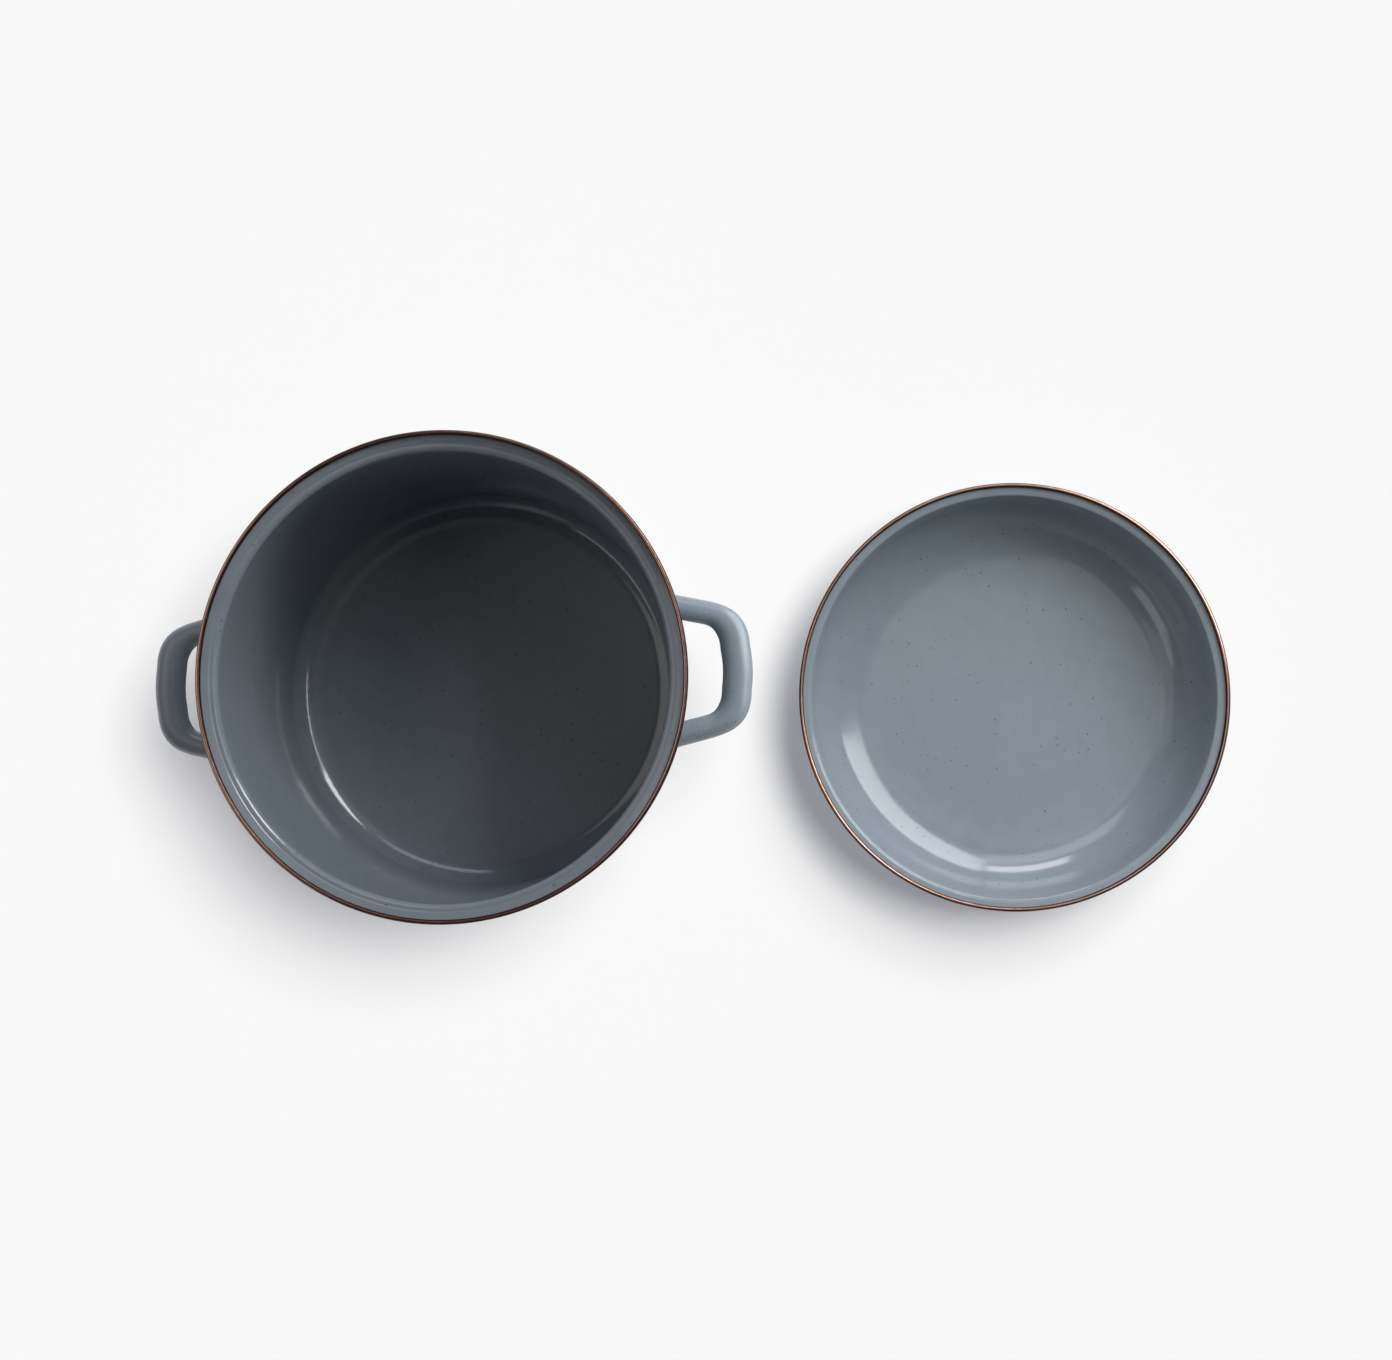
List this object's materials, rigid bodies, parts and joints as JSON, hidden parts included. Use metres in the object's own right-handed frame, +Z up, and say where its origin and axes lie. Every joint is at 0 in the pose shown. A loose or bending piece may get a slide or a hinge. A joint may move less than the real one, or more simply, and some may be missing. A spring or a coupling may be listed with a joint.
{
  "type": "enamel stockpot",
  "caption": "Grey enamelled steel stockpot with bow handles and copper-toned rim bands; its deep lid turns over to stand beside it as a shallow dish.",
  "frame": {"origin": "centre of the pot's flat base, on the table", "axes": "+Z up along the pot's axis; +X from the pot's axis along the line of its handles, towards the side where the lid stands"},
  "size_m": [0.6076, 0.2743, 0.165],
  "materials": {
    "enamel": "slate grey vitreous enamel on steel, glossy, lightly mottled",
    "rim_metal": "copper-toned rolled metal, satin to polished"
  },
  "bodies": {
    "pot": {"pot_shell": "enamel", "pot_rim_band": "rim_metal", "right_handle": "enamel", "right_handle_foot_1": "enamel", "right_handle_foot_2": "enamel", "left_handle": "enamel", "left_handle_foot_1": "enamel", "left_handle_foot_2": "enamel"},
    "lid": {"lid_dish": "enamel", "lid_rim_band": "rim_metal"}
  },
  "joints": [
    {"name": "lid_turn_over", "type": "hinge", "parent": "pot", "child": "lid", "pos_m": [0.15868, -0.009, 0.1058], "axis": [-0.0566, -0.9984, 0], "range_deg": [0, 180]}
  ]
}
